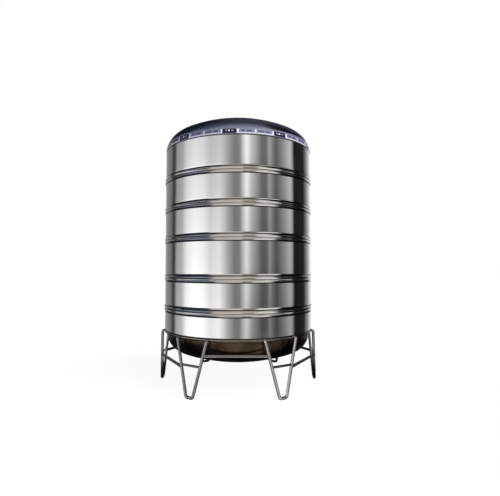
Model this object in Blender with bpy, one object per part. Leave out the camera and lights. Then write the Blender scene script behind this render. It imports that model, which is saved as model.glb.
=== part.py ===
"""Stainless water storage tank on a ring of V legs.

Metres, +Z up. The origin is on the ground below the tank's centre, and the
front of the tank, the side that the photo shows, faces -Y.
"""

import math

import bmesh
import bpy
from mathutils import Matrix, Vector

# Driving dimensions of the tank
wallRadius = 0.850
sheet = 0.0015
seatGap = 0.0003
wallBottom = 0.601
wallHeight = 2.017

# Rolled rib bands: heights of their centres above the wall's lower edge
bandRises = (0.242, 0.579, 0.998, 1.337, 1.672)
bandHeight = 0.071
ribProud = 0.0092
ribCrest = 0.0128
ribValley = 0.002

# Domed top and dished bottom, each a crown with a rounded edge
topKnuckle = 0.226
topCrown = 1.577
dishRadius = 0.820
dishSkirt = 0.046
dishKnuckle = 0.209
dishCrown = 1.950
dishRimRise = 0.018

# Printed film round the foot of the dome
filmFrom = math.radians(2)
filmTo = math.radians(20)
filmThickness = 0.0005

# Manhole
neckRadius = 0.199
neckDrop = 0.018
neckRise = 0.0216
lidRadius = 0.206
lidDome = 0.190
lidSkirt = 0.018
lidRise = 0.018
handleSpan = 0.120
handleRise = 0.034
handleRod = 0.004
handleBend = 0.012

# Pipe sockets with a plug
socketRadius = 0.024
socketLength = 0.032
plugRadius = 0.017
plugLength = 0.009
socketAzimuth = math.radians(148.5)
inletHeight = 2.450
outletHeight = 0.670

# Stand: a hoop under the wall, V legs of bent tube, braces of three tube sizes
tubeRadius = 0.016
thinTubeRadius = 0.0125
thickTubeRadius = 0.019
hoopTop = wallBottom - seatGap
standTurn = math.radians(-1.5)
frontLegAngle = math.radians(31.4)
legHalfAngle = math.radians(12.4)
footRadius = 0.888
footHalfWidth = 0.041
footBend = 0.026
elbowReach = 0.0195
topBend = 0.0172
legBraceHeight = 0.323
bayBraceHeight = 0.301
highBraceHeight = 0.432

# Facets round the tank, round the hoop, round a tube and a socket, and steps in a tube's bend
wallFacets = 40
hoopFacets = 120
hoopSides = 8
tubeSides = 12
socketFacets = 16
bendSteps = 4
handleBendSteps = 3

steelShell = ((0.62, 0.62, 0.60, 1.0), 0.18, 1.0)
steelDome = ((0.46, 0.47, 0.52, 1.0), 0.16, 1.0)
steelDish = ((0.34, 0.30, 0.26, 1.0), 0.42, 1.0)
steelTube = ((0.50, 0.50, 0.50, 1.0), 0.32, 1.0)
steelCast = ((0.40, 0.40, 0.39, 1.0), 0.38, 1.0)
printedFilm = ((0.10, 0.10, 0.30, 1.0), 0.35, 0.0)
sharpAngle = math.radians(32)


def clearScene():
    for item in list(bpy.data.objects):
        bpy.data.objects.remove(item, do_unlink=True)


def addEmpty(name, parent=None, turn=0.0):
    empty = bpy.data.objects.new(name, None)
    bpy.context.scene.collection.objects.link(empty)
    empty.parent = parent
    empty.rotation_euler = (0, 0, turn)
    return empty


def paint(name, look):
    colour, roughness, metallic = look
    material = bpy.data.materials.new(name)
    material.use_nodes = True
    shader = material.node_tree.nodes["Principled BSDF"]
    shader.inputs["Base Color"].default_value = colour
    shader.inputs["Roughness"].default_value = roughness
    shader.inputs["Metallic"].default_value = metallic
    return material


def addPart(name, mesh, look, parent, location=(0, 0, 0), turn=0.0):
    part = bpy.data.objects.new(name, mesh)
    bpy.context.scene.collection.objects.link(part)
    part.parent = parent
    part.location = location
    part.rotation_euler = (0, 0, turn)
    if not mesh.materials:
        mesh.materials.append(None)
    part.material_slots[0].link = "OBJECT"
    part.material_slots[0].material = paint(name, look)
    return part


def finishMesh(bm, name):
    bmesh.ops.recalc_face_normals(bm, faces=bm.faces)
    mesh = bpy.data.meshes.new(name)
    bm.to_mesh(mesh)
    bm.free()
    mesh.shade_smooth()
    mesh.set_sharp_from_angle(angle=sharpAngle)
    return mesh


def turned(name, profile, steps, closed=True):
    """Turn (radius, height) points about Z. An open profile starts and ends on the axis."""
    bm = bmesh.new()
    verts = [bm.verts.new((radius, 0, height)) for radius, height in profile]
    edges = [bm.edges.new(pair) for pair in zip(verts, verts[1:])]
    if closed:
        edges.append(bm.edges.new((verts[-1], verts[0])))
    bmesh.ops.spin(bm, geom=verts + edges, cent=(0, 0, 0), axis=(0, 0, 1),
                   angle=math.tau, steps=steps, use_merge=True)
    bmesh.ops.remove_doubles(bm, verts=bm.verts, dist=1e-6)
    return finishMesh(bm, name)


def roundedPath(corners, radii, steps):
    """Points along a polyline whose inner corners are turned into arcs."""
    path = [corners[0]]
    for before, corner, after, radius in zip(corners, corners[1:], corners[2:], radii):
        inward = (corner - before).normalized()
        outward = (after - corner).normalized()
        turn = inward.angle(outward)
        reach = radius * math.tan(turn / 2)
        start = corner - inward * reach
        centre = start + (outward - inward * inward.dot(outward)).normalized() * radius
        axis = inward.cross(outward).normalized()
        for step in range(steps + 1):
            swing = Matrix.Rotation(turn * step / steps, 3, axis)
            path.append(centre + swing @ (start - centre))
    path.append(corners[-1])
    return path


def segmentSides(path, anchor, side):
    """One side direction for each stretch of a path, carried along without twist."""
    ways = [(b - a).normalized() for a, b in zip(path, path[1:])]
    sides = [None] * len(ways)
    sides[anchor] = (side - ways[anchor] * side.dot(ways[anchor])).normalized()
    for i in range(anchor + 1, len(ways)):
        sides[i] = ways[i - 1].rotation_difference(ways[i]) @ sides[i - 1]
    for i in range(anchor - 1, -1, -1):
        sides[i] = ways[i + 1].rotation_difference(ways[i]) @ sides[i + 1]
    return ways, sides


def sectionPoints(way, side, flatRadius, sides):
    """Corners of a polygon across a tube, with flats facing side and across it."""
    across = way.cross(side)
    reach = flatRadius / math.cos(math.pi / sides)
    angles = [math.tau * (k + 0.5) / sides for k in range(sides)]
    return [side * reach * math.cos(a) + across * reach * math.sin(a) for a in angles]


def skinRings(rings, name):
    """Bridge a row of rings into one tube with flat ends."""
    bm = bmesh.new()
    loops = []
    for ring in rings:
        verts = [bm.verts.new(point) for point in ring]
        loops.append([bm.edges.new(pair) for pair in zip(verts, verts[1:] + verts[:1])])
    for near, far in zip(loops, loops[1:]):
        bmesh.ops.bridge_loops(bm, edges=near + far)
    bmesh.ops.holes_fill(bm, edges=loops[0] + loops[-1], sides=tubeSides)
    return finishMesh(bm, name)


def tubeMesh(name, path, flatRadius, anchor, side):
    """A round tube along a path, mitred where the path turns."""
    ways, sides = segmentSides(path, anchor, side)
    rings = []
    for i, point in enumerate(path):
        seg = min(i, len(ways) - 1)
        cut = (ways[max(i - 1, 0)] + ways[seg]).normalized()
        ring = []
        for offset in sectionPoints(ways[seg], sides[seg], flatRadius, tubeSides):
            slide = -offset.dot(cut) / ways[seg].dot(cut)
            ring.append(point + offset + ways[seg] * slide)
        rings.append(ring)
    return skinRings(rings, name)


def barMesh(name, start, end, flatRadius, startFace, endFace, standOff):
    """A straight tube between two leg axes, cut parallel to the leg flats that it meets."""
    way = (end - start).normalized()
    side = Vector((0, 0, 1))
    side = (side - way * side.dot(way)).normalized()
    rings = []
    for point, face in ((start, startFace), (end, endFace)):
        ring = []
        for offset in sectionPoints(way, side, flatRadius, tubeSides):
            slide = (standOff - offset.dot(face)) / way.dot(face)
            ring.append(point + offset + way * slide)
        rings.append(ring)
    return skinRings(rings, name)


def headProfile(radius, knuckle, crown, steps, inset=0.0, hole=0.0):
    """Half section of a head, rim to centre, as (radius, rise above the rim) points."""
    meet = math.asin((radius - knuckle) / (crown - knuckle))
    crownCentre = -math.cos(meet) * (crown - knuckle)
    points = []
    for step in range(steps + 1):
        angle = (math.pi / 2 - meet) * step / steps
        reach = knuckle - inset
        points.append((radius - knuckle + reach * math.cos(angle), reach * math.sin(angle)))
    reach = crown - inset
    stop = math.asin(hole / reach)
    for step in range(1, steps + 1):
        angle = meet + (stop - meet) * step / steps
        points.append((reach * math.sin(angle), crownCentre + reach * math.cos(angle)))
    return points


def crownHeight(radius):
    """Height of the dome's outer face above the wall's top edge, near the middle."""
    meet = math.asin((wallRadius - topKnuckle) / (topCrown - topKnuckle))
    crownCentre = -math.cos(meet) * (topCrown - topKnuckle)
    return crownCentre + math.sqrt(topCrown ** 2 - radius ** 2)


def buildWall(tank):
    """Six plain courses of sheet with a rolled rib band between each two."""
    edges = [0.0]
    for rise in bandRises:
        edges += [rise - bandHeight / 2, rise + bandHeight / 2]
    edges.append(wallHeight)
    inner = wallRadius - sheet
    for number, (low, high) in enumerate(zip(edges[0::2], edges[1::2]), 1):
        tall = high - low - seatGap
        section = [(wallRadius, tall), (wallRadius, 0), (inner, 0), (inner, tall)]
        mesh = turned("shell_course", section, wallFacets)
        addPart(f"shell_course_{number}", mesh, steelShell, tank, (0, 0, wallBottom + low))
    band = ribBandMesh()
    for number, rise in enumerate(bandRises, 1):
        low = wallBottom + rise - bandHeight / 2
        addPart(f"rib_band_{number}", band, steelShell, tank, (0, 0, low))


def ribBandMesh():
    """Two round ribs side by side, the sheet as thick in the ribs as beside them."""
    tall = bandHeight - seatGap
    middle, low, high = tall / 2, tall / 4, tall * 3 / 4
    half = ribCrest / 2
    crest = wallRadius + ribProud
    valley = wallRadius + ribValley
    inner = wallRadius - sheet
    outside = [(wallRadius, tall), (crest, high + half), (crest, high - half), (valley, middle),
               (crest, low + half), (crest, low - half), (wallRadius, 0)]
    inside = [(inner, 0), (crest - 2 * sheet, low), (valley - sheet, middle),
              (crest - 2 * sheet, high), (inner, tall)]
    return turned("rib_band", outside + inside, wallFacets)


def buildTopHead(tank):
    """The dome, with a round hole for the manhole neck."""
    hole = neckRadius + seatGap
    outer = headProfile(wallRadius, topKnuckle, topCrown, 5, hole=hole)
    inner = headProfile(wallRadius, topKnuckle, topCrown, 5, sheet, hole)
    mesh = turned("top_head", outer + inner[::-1], wallFacets)
    addPart("top_head", mesh, steelDome, tank, (0, 0, wallBottom + wallHeight))


def buildFilm(tank):
    """A thin printed band that lies on the dome just above the wall."""
    near = topKnuckle + seatGap
    far = near + filmThickness
    angles = [filmFrom + (filmTo - filmFrom) * step / 3 for step in range(4)]
    centre = wallRadius - topKnuckle
    outer = [(centre + far * math.cos(a), far * math.sin(a)) for a in angles]
    inner = [(centre + near * math.cos(a), near * math.sin(a)) for a in angles]
    mesh = turned("dome_film", outer + inner[::-1], wallFacets)
    addPart("dome_film", mesh, printedFilm, tank, (0, 0, wallBottom + wallHeight))


def buildBottomHead(tank):
    """The dish: a rim inside the wall, a ledge on the hoop, a skirt and the dished part."""
    rim = wallRadius - sheet - seatGap
    outer = [(radius, -dishSkirt - rise) for radius, rise
             in headProfile(dishRadius, dishKnuckle, dishCrown, 4)]
    inner = [(radius, -dishSkirt - rise) for radius, rise
             in headProfile(dishRadius, dishKnuckle, dishCrown, 4, sheet)]
    rimOuter = [(rim, dishRimRise), (rim, 0), (dishRadius, 0)]
    rimInner = [(rim - sheet, dishRimRise), (rim - sheet, sheet), (dishRadius - sheet, sheet)]
    section = outer[::-1] + rimOuter[::-1] + rimInner + inner
    mesh = turned("bottom_head", section, wallFacets, closed=False)
    addPart("bottom_head", mesh, steelDish, tank, (0, 0, wallBottom))


def buildManhole(tank):
    """A short neck in the dome, a lid that rests on it and a rod handle."""
    foot = wallBottom + wallHeight + crownHeight(neckRadius)
    neckTall = neckDrop + neckRise
    section = [(neckRadius, neckTall), (neckRadius, 0), (neckRadius - sheet, 0),
               (neckRadius - sheet, neckTall)]
    neck = turned("manhole_neck", section, wallFacets)
    addPart("manhole_neck", neck, steelDome, tank, (0, 0, foot - neckDrop))

    seat = foot + neckRise + seatGap
    radii = [lidDome * step / 4 for step in range(5)]
    under = [(r, lidRise * (1 - (r / lidDome) ** 2)) for r in radii]
    top = [(r, h + sheet) for r, h in under] + [(lidRadius, sheet)]
    under.append((lidRadius - sheet, 0))
    skirt = [(lidRadius, -lidSkirt), (lidRadius - sheet, -lidSkirt)]
    lid = turned("manhole_lid", top + skirt + under[::-1], wallFacets, closed=False)
    addPart("manhole_lid", lid, steelDome, tank, (0, 0, seat))

    half = handleSpan / 2
    low = sheet + lidRise * (1 - (half / lidDome) ** 2) + 2 * seatGap
    corners = [Vector((-half, 0, low)), Vector((-half, 0, low + handleRise)),
               Vector((half, 0, low + handleRise)), Vector((half, 0, low))]
    path = roundedPath(corners, (handleBend, handleBend), handleBendSteps)
    handle = tubeMesh("lid_handle", path, handleRod, 0, Vector((1, 0, 0)))
    addPart("lid_handle", handle, steelTube, tank, (0, 0, seat))


def socketMesh():
    """A short round socket with a smaller plug, its back at the origin and facing -Y."""
    reach = socketLength + plugLength
    profile = [(0, 0), (socketRadius, 0), (socketRadius, socketLength),
               (plugRadius, socketLength), (plugRadius, reach), (0, reach)]
    mesh = turned("pipe_socket", profile, socketFacets, closed=False)
    mesh.transform(Matrix.Rotation(math.radians(90), 4, "X"))
    return mesh


def buildSockets(tank):
    """An inlet near the top and an outlet near the bottom of the rear, and a drain in the dish."""
    mesh = socketMesh()
    flat = wallRadius * math.cos(math.pi / wallFacets) + seatGap
    for name, height, azimuth in (("inlet_socket", inletHeight, socketAzimuth),
                                  ("outlet_socket", outletHeight, -socketAzimuth)):
        place = (flat * math.sin(azimuth), -flat * math.cos(azimuth), height)
        addPart(name, mesh, steelCast, tank, place, azimuth)
    depth = headProfile(dishRadius, dishKnuckle, dishCrown, 1)[-1][1]
    reach = socketLength + plugLength
    profile = [(0, -reach), (plugRadius, -reach), (plugRadius, -socketLength),
               (socketRadius, -socketLength), (socketRadius, 0), (0, 0)]
    drain = turned("drain_socket", profile, socketFacets, closed=False)
    addPart("drain_socket", drain, steelCast, tank, (0, 0, wallBottom - dishSkirt - depth - seatGap))


def legPath():
    """Centre line of the front V leg, from one end on the hoop to the other."""
    hoopFace = hoopCentre() + tubeRadius + seatGap
    hoopMid = hoopTop - tubeRadius
    corners = []
    for hand in (-1, 1):
        spoke = Vector((hand * math.sin(legHalfAngle), -math.cos(legHalfAngle), 0))
        end = spoke * hoopFace + Vector((0, 0, hoopMid))
        elbow = spoke * (hoopFace + elbowReach) + Vector((0, 0, hoopMid))
        foot = Vector((hand * footHalfWidth, -footRadius, tubeRadius))
        side = [end, elbow, foot]
        corners += side if hand < 0 else side[::-1]
    return roundedPath(corners, (topBend, footBend, footBend, topBend), bendSteps)


def hoopCentre():
    """Radius of the hoop's centre line: it fits round the dish's skirt."""
    return dishRadius + seatGap + tubeRadius / math.cos(math.pi / hoopSides)


def legFrame():
    """Path, stretch directions and sides of a V leg, anchored at the middle of its foot."""
    path = legPath()
    middle = (len(path) - 1) // 2
    ways, sides = segmentSides(path, middle, Vector((0, -1, 0)))
    return path, ways, sides, middle


def runAt(height, turn):
    """Where the right-hand run of a V leg turned about Z passes a height, and its flats."""
    path, ways, sides, middle = legFrame()
    seg = next(i for i in range(middle, len(ways)) if path[i + 1].z > height)
    swing = Matrix.Rotation(turn, 3, "Z")
    point = path[seg] + ways[seg] * ((height - path[seg].z) / ways[seg].z)
    across = ways[seg].cross(sides[seg])
    angles = [math.tau * k / tubeSides for k in range(tubeSides)]
    flats = [swing @ (sides[seg] * math.cos(a) + across * math.sin(a)) for a in angles]
    return swing @ point, flats


def braceMesh(name, height, turn, towards, flatRadius):
    """A level brace centred on the front, from one V leg run to its mirror image."""
    start, flats = runAt(height, turn)
    face = max(flats, key=lambda flat: flat.x * towards)
    end = Vector((-start.x, start.y, start.z))
    endFace = Vector((-face.x, face.y, face.z))
    return barMesh(name, start, end, flatRadius, face, endFace, tubeRadius + seatGap)


def buildHoop(stand):
    """The round hoop that carries the wall and the dish."""
    reach = tubeRadius / math.cos(math.pi / hoopSides)
    angles = [math.tau * (k + 0.5) / hoopSides for k in range(hoopSides)]
    section = [(hoopCentre() + reach * math.cos(a), reach * math.sin(a)) for a in angles]
    mesh = turned("support_hoop", section, hoopFacets)
    addPart("support_hoop", mesh, steelTube, stand, (0, 0, hoopTop - tubeRadius))


def buildLegs(stand):
    """Six V legs, a thin brace inside each V and a brace across each bay between two."""
    path, ways, sides, middle = legFrame()
    leg = tubeMesh("v_leg", path, tubeRadius, middle, Vector((0, -1, 0)))
    inner = braceMesh("leg_brace", legBraceHeight, 0, -1, thinTubeRadius)
    quarter = math.pi / 2
    legTurns = {
        "front_right": frontLegAngle,
        "right": quarter,
        "rear_right": math.pi - frontLegAngle,
        "rear_left": math.pi + frontLegAngle,
        "left": -quarter,
        "front_left": -frontLegAngle,
    }
    for place, turn in legTurns.items():
        addPart(f"leg_{place}", leg, steelTube, stand, turn=turn)
        addPart(f"leg_brace_{place}", inner, steelTube, stand, turn=turn)

    sideHalf = (quarter - frontLegAngle) / 2
    sideMiddle = quarter - sideHalf
    high = braceMesh("high_bay_brace", highBraceHeight, -frontLegAngle, 1, thickTubeRadius)
    low = braceMesh("bay_brace", bayBraceHeight, -sideHalf, 1, tubeRadius)
    bayTurns = {
        "front": (high, 0),
        "front_right": (low, sideMiddle),
        "rear_right": (low, math.pi - sideMiddle),
        "rear": (high, math.pi),
        "rear_left": (low, math.pi + sideMiddle),
        "front_left": (low, -sideMiddle),
    }
    for place, (mesh, turn) in bayTurns.items():
        addPart(f"bay_brace_{place}", mesh, steelTube, stand, turn=turn)


def main():
    clearScene()
    tank = addEmpty("tank")
    stand = addEmpty("stand", parent=tank, turn=standTurn)
    buildHoop(stand)
    buildLegs(stand)
    buildBottomHead(tank)
    buildWall(tank)
    buildTopHead(tank)
    buildFilm(tank)
    buildManhole(tank)
    buildSockets(tank)


main()
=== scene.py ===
import math

import bmesh
import bpy
from mathutils import Matrix, Vector, noise


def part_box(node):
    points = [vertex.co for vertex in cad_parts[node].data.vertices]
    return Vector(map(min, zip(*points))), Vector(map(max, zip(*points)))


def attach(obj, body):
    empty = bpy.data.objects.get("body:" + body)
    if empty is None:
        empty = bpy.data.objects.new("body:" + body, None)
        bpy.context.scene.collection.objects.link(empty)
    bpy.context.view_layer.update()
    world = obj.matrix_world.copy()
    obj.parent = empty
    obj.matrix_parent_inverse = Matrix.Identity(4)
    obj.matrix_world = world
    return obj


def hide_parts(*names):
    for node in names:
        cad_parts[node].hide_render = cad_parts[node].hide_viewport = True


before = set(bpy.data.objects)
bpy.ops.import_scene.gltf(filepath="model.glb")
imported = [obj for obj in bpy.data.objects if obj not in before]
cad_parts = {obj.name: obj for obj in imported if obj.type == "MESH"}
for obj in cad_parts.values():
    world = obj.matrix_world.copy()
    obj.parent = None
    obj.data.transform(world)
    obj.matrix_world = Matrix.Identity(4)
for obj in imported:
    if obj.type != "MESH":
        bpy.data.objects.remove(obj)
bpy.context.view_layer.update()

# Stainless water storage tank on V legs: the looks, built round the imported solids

scene = bpy.context.scene
up = Vector((0, 0, 1))

tank = {
    "radius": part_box("shell_course_1")[1].x,
    "bottom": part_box("shell_course_1")[0].z,
    "top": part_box("shell_course_6")[1].z,
    "sheet": 0.0015,            # thickness of the wall and the heads
    "gap": 0.0003,              # hairline between two pieces, as between the solids
    "row": 0.1,                 # about how tall a row of faces is on the plain wall
    "steps": 192,               # steps in a full turn of the big round pieces
}


# Helpers

def linear(code):
    # sRGB hex to the linear colour that a shader wants
    values = [int(code[i:i + 2], 16) / 255 for i in (1, 3, 5)]
    return [v / 12.92 if v <= 0.04045 else ((v + 0.055) / 1.055) ** 2.4 for v in values] + [1.0]


def addNode(tree, kind, inputs=None, **settings):
    # one node with its settings, its values and its links
    node = tree.nodes.new(kind)
    for name, value in settings.items():
        setattr(node, name, value)
    for name, value in (inputs or {}).items():
        if isinstance(value, bpy.types.NodeSocket):
            tree.links.new(value, node.inputs[name])
        else:
            node.inputs[name].default_value = value
    return node


def setStops(ramp, stops):
    # (position, colour) pairs on a ramp that starts with two stops
    while len(ramp.elements) < len(stops):
        ramp.elements.new(0.5)
    for element, (position, colour) in zip(ramp.elements, stops):
        element.position = position
        element.color = colour


def grey(value):
    return (value, value, value, 1.0)


def heights(node):
    # the lowest and the highest point of a CAD node
    low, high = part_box(node)
    return low.z, high.z


def spokeAt(azimuth):
    # level direction at an azimuth in radians: 0 is the front, + goes to the right
    return Vector((math.sin(azimuth), -math.cos(azimuth), 0))


def startMaterial(name, colour, metallic, roughness):
    material = bpy.data.materials.new(name)
    material.use_nodes = True
    tree = material.node_tree
    shader = tree.nodes["Principled BSDF"]
    shader.inputs["Base Color"].default_value = linear(colour)
    shader.inputs["Metallic"].default_value = metallic
    shader.inputs["Roughness"].default_value = roughness
    coords = addNode(tree, "ShaderNodeTexCoord").outputs["Object"]
    return material, tree, shader, coords


def feedShader(tree, shader, sources):
    # the first output of each node goes to a socket of the shader
    for name, node in sources.items():
        tree.links.new(node.outputs[0], shader.inputs[name])


def finishPiece(name, bm, material, replaced=(), sheet=0.0, sharp=40):
    # a mesh in its place, riding on the tank, standing for its CAD nodes
    bmesh.ops.remove_doubles(bm, verts=bm.verts, dist=1e-6)
    bmesh.ops.recalc_face_normals(bm, faces=bm.faces)
    if sheet:
        bmesh.ops.solidify(bm, geom=bm.faces[:], thickness=sheet)
    mesh = bpy.data.meshes.new(name)
    bm.to_mesh(mesh)
    bm.free()
    mesh.shade_smooth()
    mesh.set_sharp_from_angle(angle=math.radians(sharp))
    mesh.materials.append(material)
    piece = bpy.data.objects.new(name, mesh)
    scene.collection.objects.link(piece)
    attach(piece, "root")
    if replaced:
        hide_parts(*replaced)


def startPen(x, z):
    # a half section is drawn in the XZ plane, then turned about Z
    bm = bmesh.new()
    return bm, bm.verts.new((x, 0, z))


def penLine(bm, vert, x, z):
    made = bmesh.ops.extrude_vert_indiv(bm, verts=[vert])["verts"][0]
    made.co = (x, 0, z)
    return made


def penArc(bm, vert, centreX, centreZ, degrees, steps):
    # positive degrees turn from +X towards +Z
    made = bmesh.ops.spin(bm, geom=[vert], cent=(centreX, 0, centreZ), axis=(0, -1, 0),
                          angle=math.radians(degrees), steps=steps)["geom_last"]
    return next(item for item in made if isinstance(item, bmesh.types.BMVert))


def turnRound(bm, steps, geom=None):
    # a full turn about Z, of all that is drawn or of some of it
    bmesh.ops.spin(bm, geom=geom or bm.verts[:] + bm.edges[:], cent=(0, 0, 0), axis=(0, 0, 1),
                   angle=math.tau, steps=steps, use_merge=True)


def edgesAmong(bm, verts):
    return [edge for edge in bm.edges if edge.verts[0] in verts and edge.verts[1] in verts]


def startRing(bm, x, z, radius, sides):
    # a small circle in the XZ plane, to be turned about Z
    place = Matrix.Translation((x, 0, z)) @ Matrix.Rotation(math.pi / 2, 4, "X")
    return bmesh.ops.create_circle(bm, segments=sides, radius=radius, matrix=place)["verts"]


def startTube(bm, place, way, radius, sides):
    # the first ring of a tube that runs along way
    stance = Matrix.Translation(place) @ way.to_track_quat("Z", "Y").to_matrix().to_4x4()
    verts = bmesh.ops.create_circle(bm, segments=sides, radius=radius, matrix=stance)["verts"]
    return edgesAmong(bm, verts)


def runTube(bm, ring, move):
    made = bmesh.ops.extrude_edge_only(bm, edges=ring)["geom"]
    verts = [item for item in made if isinstance(item, bmesh.types.BMVert)]
    bmesh.ops.translate(bm, verts=verts, vec=move)
    fresh = set(verts)
    return [item for item in made if isinstance(item, bmesh.types.BMEdge) and fresh.issuperset(item.verts)]


def bendTube(bm, ring, centre, axis, angle, steps):
    verts = list({vert for edge in ring for vert in edge.verts})
    made = bmesh.ops.spin(bm, geom=verts + ring, cent=centre, axis=axis, angle=angle, steps=steps)
    return [item for item in made["geom_last"] if isinstance(item, bmesh.types.BMEdge)]


def bentTube(bm, corners, bends, radius, sides=24, steps=8):
    # a tube bent at its inner corners, as a tube bender makes it, with closed ends
    way = (corners[1] - corners[0]).normalized()
    here = corners[0]
    first = ring = startTube(bm, here, way, radius, sides)
    for corner, after, bend in zip(corners[1:], corners[2:], bends):
        onward = (after - corner).normalized()
        turn = way.angle(onward)
        reach = bend * math.tan(turn / 2)
        ring = runTube(bm, ring, corner - way * reach - here)
        centre = corner - way * reach + (onward - way * way.dot(onward)).normalized() * bend
        ring = bendTube(bm, ring, centre, way.cross(onward).normalized(), turn, steps)
        here = corner + onward * reach
        way = onward
    ring = runTube(bm, ring, corners[-1] - here)
    bmesh.ops.holes_fill(bm, edges=first + ring, sides=0)


weld = {
    "sides": 8,                 # sides of a bead's own section
    "steps": 36,                # steps round the tube that the bead joins on
    "swell": 0.25,              # how much a bead laid by hand swells and shrinks
    "lumps": 2,                 # how often it does so on its way round
    "hold": 0.98,               # share of the carrier's radius within which it sits
}


def saddleWeld(bm, axisPoint, way, carrierWay, carrierRadius, radius, thickness, seed):
    # a bead round the end of a tube that stands along way on a round carrier tube
    before = set(bm.verts)
    verts = startRing(bm, radius, 0, thickness, weld["sides"])
    turnRound(bm, weld["steps"], verts + edgesAmong(bm, verts))
    along = (carrierWay - way * carrierWay.dot(way)).normalized()
    place = Matrix((along, way.cross(along), way)).transposed().to_4x4()
    for vert in [vert for vert in bm.verts if vert not in before]:
        angle = math.atan2(vert.co.y, vert.co.x)
        spoke = Vector((math.cos(angle), math.sin(angle), 0))
        lump = noise.noise(Vector((spoke.x * weld["lumps"], spoke.y * weld["lumps"], seed)))
        centre = spoke * radius
        vert.co = centre + (vert.co - centre) * (1 + weld["swell"] * lump)
        side = min(abs(vert.co.y), carrierRadius * weld["hold"])
        vert.co.z += math.sqrt(carrierRadius ** 2 - side ** 2)
        vert.co = axisPoint + place @ vert.co


print("helpers ready")


# Materials

def makeWallSheet(name, creased):
    # 304 stainless sheet, bright annealed: mirror-like stripes, a faint rolling grain up the wall
    # and the slow waves of thin sheet, about 300 mm apart
    material, tree, shader, coords = startMaterial(name, "#E6E6E6", 1.0, 0.1)
    grainSpace = addNode(tree, "ShaderNodeMapping", {"Vector": coords, "Scale": (1.0, 1.0, 0.02)})
    # grain is 0.3 mm in life, drawn 5 mm wide to show
    grain = addNode(tree, "ShaderNodeTexNoise",
                    {"Vector": grainSpace.outputs[0], "Scale": 200.0, "Detail": 3.0})
    grainRough = addNode(tree, "ShaderNodeMapRange", {"Value": grain.outputs["Fac"], "From Min": 0.3,
                                                      "From Max": 0.7, "To Min": 0.04, "To Max": 0.08})
    # handling marks, about 170 mm across
    marks = addNode(tree, "ShaderNodeTexNoise", {"Vector": coords, "Scale": 6.0, "Detail": 5.0})
    markRough = addNode(tree, "ShaderNodeMapRange", {"Value": marks.outputs["Fac"], "From Min": 0.45,
                                                     "From Max": 0.75, "To Min": 0.0, "To Max": 0.05})
    rough = addNode(tree, "ShaderNodeMath", {0: grainRough.outputs[0], 1: markRough.outputs[0]},
                    operation="ADD")
    waves = addNode(tree, "ShaderNodeTexNoise", {"Vector": coords, "Scale": 3.2, "Detail": 1.0})
    bump = addNode(tree, "ShaderNodeBump",
                   {"Height": waves.outputs["Fac"], "Strength": 0.05, "Distance": 0.02})
    fine = addNode(tree, "ShaderNodeBump", {"Height": grain.outputs["Fac"], "Strength": 0.03,
                                            "Distance": 0.001, "Normal": bump.outputs[0]})
    if creased:
        # grime and painted shade sit in the creases at the feet of the ribs, close to the wall's own
        # radius: the colour darkens there for both
        split = addNode(tree, "ShaderNodeSeparateXYZ", {"Vector": coords})
        flat = addNode(tree, "ShaderNodeCombineXYZ", {"X": split.outputs["X"], "Y": split.outputs["Y"]})
        reach = addNode(tree, "ShaderNodeVectorMath", {0: flat.outputs[0]}, operation="LENGTH")
        clearOfDark = addNode(tree, "ShaderNodeMapRange", {"Value": reach.outputs["Value"],
                                                     "From Min": tank["radius"] + rib["grimeAndShadeStart"],
                                                     "From Max": tank["radius"] + rib["grimeAndShadeRise"]})
        # darkest near the wall's radius: partly grime, partly painted shade of the creases
        tint = addNode(tree, "ShaderNodeValToRGB", {"Fac": clearOfDark.outputs[0]})
        setStops(tint.color_ramp, [(0.0, linear("#1C1B1B")), (0.5, linear("#807E7B")),
                                   (1.0, linear("#E6E6E6"))])
        feedShader(tree, shader, {"Base Color": tint})
        dull = addNode(tree, "ShaderNodeMapRange",
                       {"Value": clearOfDark.outputs[0], "To Min": 0.25, "To Max": 0.0})
        rough = addNode(tree, "ShaderNodeMath", {0: rough.outputs[0], 1: dull.outputs[0]}, operation="ADD")
    feedShader(tree, shader, {"Roughness": rough, "Normal": fine})
    return material


def makeDomeSheet():
    # spun 304 stainless head: a soft sheen and the rings that the spinning tool leaves, about 2 mm
    # apart in life and drawn 12 mm apart to show
    material, tree, shader, coords = startMaterial("stainlessSpunDome", "#AEB4D0", 1.0, 0.26)
    rings = addNode(tree, "ShaderNodeTexWave", {"Vector": coords, "Scale": 26.0, "Distortion": 0.6,
                                                "Detail": 2.0}, wave_type="RINGS", rings_direction="Z")
    marks = addNode(tree, "ShaderNodeTexNoise", {"Vector": coords, "Scale": 5.0, "Detail": 5.0})
    rough = addNode(tree, "ShaderNodeMapRange", {"Value": marks.outputs["Fac"], "From Min": 0.4,
                                                 "From Max": 0.75, "To Min": 0.22, "To Max": 0.32})
    bump = addNode(tree, "ShaderNodeBump",
                   {"Height": rings.outputs["Fac"], "Strength": 0.04, "Distance": 0.001})
    feedShader(tree, shader, {"Roughness": rough, "Normal": bump})
    return material


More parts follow.
